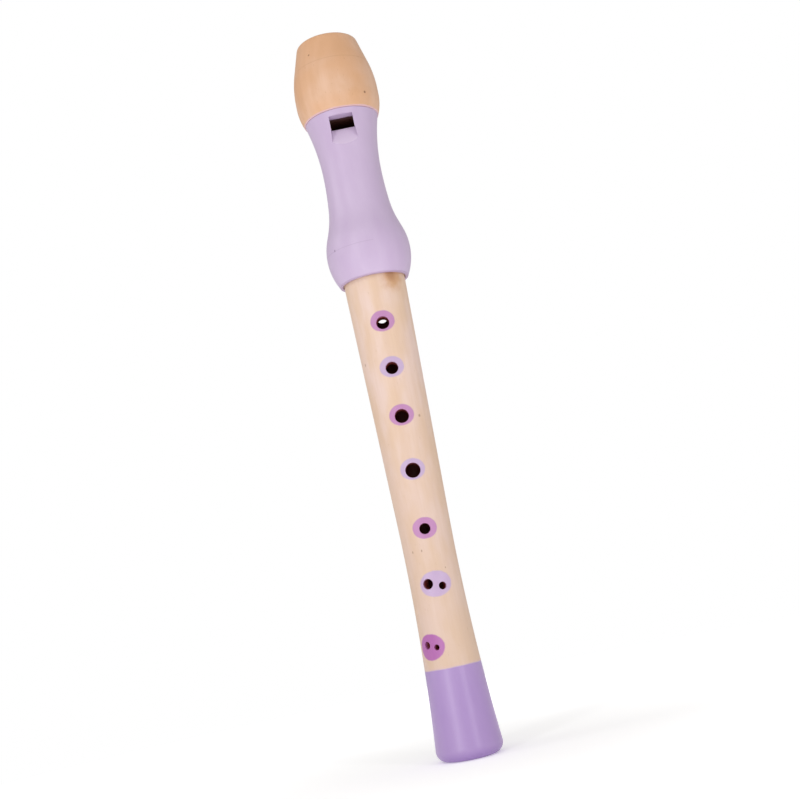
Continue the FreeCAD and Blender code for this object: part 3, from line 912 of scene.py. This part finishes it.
# %% Pale wood with painted spots
def pale_wood():
    """Tube: mottled maple, a knot, specks, and paint round the finger holes."""
    finish = Finish("pale_wood_with_spots")
    axes = finish.axes()
    layers, fibres, cloud, flecks = grain(finish, TUBE_HEART, 300, 0)
    broad = finish.noise((34, 34, 9), 2.0)
    base = finish.mix(finish.between(cloud, 0.36, 0.66), colour(226, 195, 170),
                      colour(232, 206, 196))
    base = finish.mix(finish.between(broad, 0.44, 0.64) * 0.55, base, colour(228, 198, 170))
    base = finish.mix(finish.between(fibres, 0.25, 0.75) * 0.20, base, colour(212, 178, 150))
    base = finish.mix(layers * 0.08, base, colour(206, 166, 132))
    base = finish.mix(flecks * 0.30, base, colour(186, 144, 110))
    # Darker towards the bottom of the tube: painted shade where the light falls off downwards.
    painted_shade_low = finish.between(axes[2], 0.225, 0.035)
    base = finish.mix(painted_shade_low * 0.42, base, colour(197, 170, 150))
    rough_edge = ragged(finish)
    knot = oval(finish, axes, rough_edge, *KNOT, 0.6)
    heart = oval(finish, axes, rough_edge, *KNOT_HEART, 0.6)
    base = finish.mix(knot * 0.68, base, colour(196, 140, 84))
    base = finish.mix(heart * 0.45, base, colour(150, 94, 50))
    for place_and_size in SPECKS:
        speck = oval(finish, axes, rough_edge, *place_and_size, 0.5)
        base = finish.mix(speck * 0.5, base, colour(132, 90, 60))
    wander = (finish.noise((700, 700, 700), 2.0) - 0.5) * 0.06
    paint = 0.0
    for *place_and_size, tone in SPOTS:
        mask = oval(finish, axes, wander, *place_and_size, 0.06)
        thin = finish.mix(fibres * 0.10, tone, base)
        base = finish.mix(mask, base, thin)
        paint = mask + paint
    crept = finish.between(axes[2] + (finish.noise((150, 150, 150), 2.0) - 0.5) * 0.0012,
                           (FOOT_LINE + 0.45) * MM, (FOOT_LINE + 0.2) * MM)
    film = finish.between(axes[2] + (finish.noise((90, 90, 90), 3.0) - 0.5) * 0.0016,
                          (FOOT_LINE + 1.5) * MM, (FOOT_LINE + 0.3) * MM)
    base = finish.mix(film * 0.30, base, colour(206, 176, 196))
    base = finish.mix(crept * 0.8, base, colour(182, 156, 200))
    paint = (paint + crept).at_most(1.0)
    base = darken_holes(finish, base)
    roughness = 0.48 + (fibres - 0.5) * 0.10 - paint * 0.08
    relief = fibres * 0.22 - flecks * 0.5 + paint * 1.2
    return finish.finish(base_color=base, roughness=roughness,
                         normal=finish.bump(relief, 0.00004, 0.6))


# %% [markdown]
# The beak is a warmer wood, and its grain is quieter still. A breath of lilac spray has
# caught its lower edge, where it was masked for painting.

# %% Peach wood
BEAK_LINE = 306.6   # height of the faint line that the lathe left


def peach_wood():
    """Beak: warm, close wood with a lilac breath along its lower edge."""
    finish = Finish("peach_wood")
    axes = finish.axes()
    layers, fibres, cloud, flecks = grain(finish, BEAK_HEART, 260, 3)
    even = finish.noise((75, 75, 62), 3.0)
    broad = finish.noise((42, 42, 50), 2.0)
    base = finish.mix(finish.between(even * 0.7 + cloud * 0.3, 0.38, 0.62),
                      colour(219, 173, 137), colour(227, 186, 157))
    base = finish.mix(finish.between(broad, 0.42, 0.66) * 0.7, base, colour(220, 168, 125))
    base = finish.mix(finish.between(fibres, 0.3, 0.75) * 0.12, base, colour(206, 158, 118))
    base = finish.mix(layers * 0.12, base, colour(206, 156, 112))
    base = finish.mix(flecks * 0.35, base, colour(176, 124, 84))
    lathe = ring(finish, axes[2] + (fibres - 0.5) * 0.0004, BEAK_LINE, 0.3)
    base = finish.mix(lathe * 0.22, base, colour(184, 132, 92))
    rough_edge = ragged(finish)
    for place_and_size in BEAK_SPECKS:
        speck = oval(finish, axes, rough_edge, *place_and_size, 0.5)
        base = finish.mix(speck * 0.75, base, colour(120, 74, 46))
    uneven = (finish.noise((260, 260, 260), 2.0) - 0.5) * 0.0006
    spray = finish.between(axes[2] + uneven, (SEAM + 0.75) * MM, (SEAM + 0.15) * MM)
    base = finish.mix(spray * 0.6, base, colour(214, 182, 208))
    base = darken_holes(finish, base)
    roughness = 0.46 + (fibres - 0.5) * 0.12
    return finish.finish(base_color=base, roughness=roughness,
                         normal=finish.bump(fibres * 0.25 - flecks * 0.6, 0.00004, 0.6))


# %% [markdown]
# ## Lacquer
#
# The lilac parts are sprayed wood. The colour hides the wood, but the fibres still lift the
# film a little, and the spray leaves a faint orange-peel ripple, so highlights break up.
# Inside the socket and the bore the wood is bare.

# %% Lilac lacquer in two depths
HEAD_LINE = 220.6     # height of a faint line left by the lathe
HEAD_LINE_END = 3.0   # it fades out on the side beyond this X
WALL_SHADED = 10.3      # nearer the axis than this, the window's upper wall is dark with painted shade
WALL_PAINTED = 11.2   # and farther than this it has its full colour


def lacquer(name, tone, shade, gloss, edge, edge_width, underside_shade):
    """Satin lacquer over close-grained wood, darker towards the lower edge as painted shade."""
    finish = Finish(name)
    axes = finish.axes()
    _, fibres, cloud, _ = grain(finish, TUBE_HEART, 420, 1)
    drift = finish.noise((40, 40, 12), 2.0)
    base = finish.mix(finish.between(cloud, 0.35, 0.75) * 0.7, tone, shade)
    base = finish.mix(finish.between(drift, 0.4, 0.7) * 0.35, base, shade)
    base = finish.mix(finish.between(fibres, 0.35, 0.75) * 0.14, base, shade)
    rough_edge = ragged(finish)
    chip = oval(finish, axes, rough_edge, *CHIP, 0.5)
    base = finish.mix(chip * 0.7, base, colour(120, 92, 128))
    x, y, z = axes
    # Darker at the lower edge: painted shade under the head joint's lip and round the foot's
    # bottom.
    painted_underside_shade = finish.between(z, (edge + edge_width) * MM, (edge + 0.1) * MM)
    base = finish.mix(painted_underside_shade * 0.55, base, underside_shade)
    turning = ring(finish, z + (fibres - 0.5) * 0.0002, HEAD_LINE, 0.22)
    turning = turning * (x < HEAD_LINE_END * MM)
    base = finish.mix(turning * 0.25, base, colour(150, 122, 160))
    in_window = (z > (LABIUM + 0.3) * MM) * (x * x < ((WINDOW_WIDTH / 2 + 0.2) * MM)**2)
    # The inner part of the window's upper wall is darkened: painted shade inside the window.
    window_wall_shade = finish.between(y + (fibres - 0.5) * 0.0012, -WALL_PAINTED * MM, -WALL_SHADED * MM)
    window_wall_shade = window_wall_shade * (y < 0.0)
    base = finish.mix(in_window * window_wall_shade, base, colour(84, 52, 62))
    # The ramp's lacquer is painted lighter: painted light, as the ramp faces up into the light.
    base = finish.mix(finish.attribute("ramp_painted_light") * 0.6, base, colour(234, 216, 240))
    bare = finish.attribute("bare")
    wood = finish.mix(finish.between(fibres, 0.3, 0.7), colour(222, 188, 156),
                      colour(236, 206, 180))
    base = finish.mix(bare, base, wood)
    base = darken_holes(finish, base)
    peel = finish.noise((650, 650, 650), 2.0)
    roughness = gloss + (peel - 0.5) * 0.08 + bare * 0.15
    relief = peel * 0.5 + fibres * 0.35
    return finish.finish(base_color=base, roughness=roughness,
                         normal=finish.bump(relief, 0.00003, 0.5))


# %% Cork and cedar
def cork_finish():
    """Fine cork sheet: pale cells with dark lenticels."""
    finish = Finish("cork_sheet")
    cells = finish.noise((1400, 1400, 1400), 4.0, 0.7)
    specks = finish.between(finish.noise((600, 600, 900), 3.0), 0.60, 0.68)
    base = finish.mix(cells, colour(172, 124, 80), colour(206, 162, 112))
    base = finish.mix(specks * 0.8, base, colour(96, 60, 36))
    return finish.finish(base_color=base, roughness=0.85 + (cells - 0.5) * 0.1,
                         normal=finish.bump(cells - specks, 0.0001, 0.8))


def cedar_finish():
    """Red cedar for the block, darkened at its end by painted shade inside the head joint."""
    finish = Finish("red_cedar")
    layers, fibres, _, flecks = grain(finish, BLOCK_HEART, 620, 5)
    base = finish.mix(layers, colour(128, 66, 46), colour(104, 50, 36))
    base = finish.mix(fibres * 0.35, base, colour(146, 82, 58))
    base = finish.mix(flecks * 0.5, base, colour(70, 32, 22))
    _, _, z = finish.axes()
    # Near-black end at the window: painted shade where the block sits deep in the head joint.
    painted_shade_end = finish.between(z, (WINDOW_TOP + 6) * MM, (WINDOW_TOP + 0.5) * MM)
    base = finish.mix(painted_shade_end * 0.85, base, colour(44, 18, 16))
    return finish.finish(base_color=base, roughness=0.62 + (fibres - 0.5) * 0.1,
                         normal=finish.bump(fibres - flecks, 0.00005, 0.6))


# %% Dress the pieces
def dress(piece, material):
    """Give a piece one material."""
    piece.data.materials.clear()
    piece.data.materials.append(material)
    print(f"{piece.name}: {material.name}, {len(material.node_tree.nodes)} nodes")


dress(tube, pale_wood())
dress(beak, peach_wood())
dress(head, lacquer("head_lilac", colour(201, 181, 210), colour(194, 171, 204), gloss=0.38,
                    edge=LIP, edge_width=0.9, underside_shade=colour(158, 128, 158)))
dress(foot, lacquer("foot_lilac", colour(172, 145, 195), colour(164, 135, 190), gloss=0.35,
                    edge=0.0, edge_width=5.5, underside_shade=colour(134, 100, 166)))
dress(cork, cork_finish())
dress(block, cedar_finish())

# %% [markdown]
# ## Stage, light and camera
#
# A pale floor and a bright room, as for a catalogue picture. Two tall soft boxes in front
# draw the long highlights, a wide one above lights the beak, a small one at the left keeps
# that edge from going dull, and two low cards give the foot its own highlights. The camera
# stands half a metre in front, looks up a little and is rolled to one side.

# %% The floor
FLOOR_RADIUS = 0.5   # metres


def make_floor():
    """Round pale floor that glows; it glows less near the recorder, a painted shade round the
    foot, and away from it as much as the bright room.
    """
    bm = bmesh.new()
    bmesh.ops.create_circle(bm, cap_ends=True, segments=96, radius=FLOOR_RADIUS)
    floor = mesh_object("floor", bm)
    finish = Finish("pale_floor")
    x, y, _ = finish.axes()
    distance = (x * x + y * y).root()
    speckle = finish.noise((30, 30, 30), 3.0)
    tone = finish.mix(speckle, colour(247, 247, 247), colour(250, 250, 250))
    # Dimmer glow near the recorder: painted shade round the foot.
    glow = finish.mix(finish.between(distance, 0.02, 0.30), colour(168, 168, 168),
                      colour(242, 242, 243))
    dress(floor, finish.finish(base_color=tone, roughness=0.9, emission_color=glow,
                               emission_strength=0.75))


make_floor()

# %% Soft light
# Name, bearing in degrees, distance, height, height aimed at and size in metres, watts.
LIGHTS = (
    ("key", -31, 0.8, 0.43, 0.43, (0.10, 0.84), 1.3),
    ("fill", 32, 0.8, 0.43, 0.43, (0.08, 0.84), 0.9),
    ("top", 0, 0.85, 0.95, 0.20, (0.7, 0.4), 1.1),
    ("left", -82, 0.36, 0.44, 0.28, (0.15, 0.20), 0.18),
    ("low_card_left", -29, 0.34, 0.03, 0.03, (0.13, 0.06), 0.08),
    ("low_card_right", 31, 0.34, 0.03, 0.03, (0.07, 0.06), 0.06),
)


def soft_box(name, bearing, distance, height, aim, size, power):
    """Area light on a bearing from -Y towards +X, aimed at a height on the recorder's axis."""
    angle = math.radians(bearing)
    light = bpy.data.lights.new(name, "AREA")
    light.shape = "RECTANGLE"
    light.size, light.size_y = size
    light.energy = power
    lamp = bpy.data.objects.new(name, light)
    lamp.location = (distance * math.sin(angle), -distance * math.cos(angle), height)
    toward = Vector((0, 0, aim)) - lamp.location
    lamp.rotation_euler = toward.to_track_quat("-Z", "Y").to_euler()
    bpy.context.scene.collection.objects.link(lamp)
    print(f"{name}: {power} W on a bearing of {bearing} degrees")


for setting in LIGHTS:
    soft_box(*setting)

# %% Bright room
ROOM_LIGHT = 0.53   # share of the room's white that reaches the recorder


def bright_room():
    """White all round for the eye, dimmer for the recorder, so its own light can model it."""
    world = bpy.data.worlds.new("bright_room")
    world.use_nodes = True
    nodes, links = world.node_tree.nodes, world.node_tree.links
    seen = nodes["Background"]
    seen.inputs["Color"].default_value = (1, 1, 1, 1)
    seen.inputs["Strength"].default_value = 1.0
    lit = nodes.new("ShaderNodeBackground")
    lit.inputs["Color"].default_value = (1.0, 0.99, 0.98, 1)
    lit.inputs["Strength"].default_value = ROOM_LIGHT
    rays = nodes.new("ShaderNodeLightPath")
    either = nodes.new("ShaderNodeMixShader")
    links.new(rays.outputs["Is Camera Ray"], either.inputs[0])
    links.new(lit.outputs[0], either.inputs[1])
    links.new(seen.outputs[0], either.inputs[2])
    links.new(either.outputs[0], nodes["World Output"].inputs["Surface"])
    bpy.context.scene.world = world


bright_room()
bpy.context.scene.view_settings.view_transform = "Standard"

# %% The camera
CAMERA_DISTANCE = 543.0      # from the lens to the point of the axis that it looks at
AIM_HEIGHT = 152.9
AIM_ASIDE = 0.6
LOOK_UP = math.radians(9.3)
ROLL = math.radians(11.56)
LENS = 56.25


def make_camera():
    """Camera at its place, looking up along the recorder and rolled."""
    forward = Vector((0, math.cos(LOOK_UP), math.sin(LOOK_UP)))
    level_up = Vector((0, -math.sin(LOOK_UP), math.cos(LOOK_UP)))
    level_right = Vector((1, 0, 0))
    up = level_up * math.cos(ROLL) + level_right * math.sin(ROLL)
    right = level_right * math.cos(ROLL) - level_up * math.sin(ROLL)
    place = (Vector((AIM_ASIDE, 0, AIM_HEIGHT)) - forward * CAMERA_DISTANCE) * MM
    camera = bpy.data.objects.new("camera", bpy.data.cameras.new("camera"))
    camera.data.lens = LENS
    camera.data.sensor_width = 36.0
    camera.data.clip_start = 0.01
    camera.data.clip_end = 100.0
    turn = Matrix((right, up, -forward)).transposed().to_4x4()
    camera.matrix_world = Matrix.Translation(place) @ turn
    bpy.context.scene.collection.objects.link(camera)
    bpy.context.scene.camera = camera
    print(f"camera {place.z / MM:.0f} mm above the floor")


make_camera()
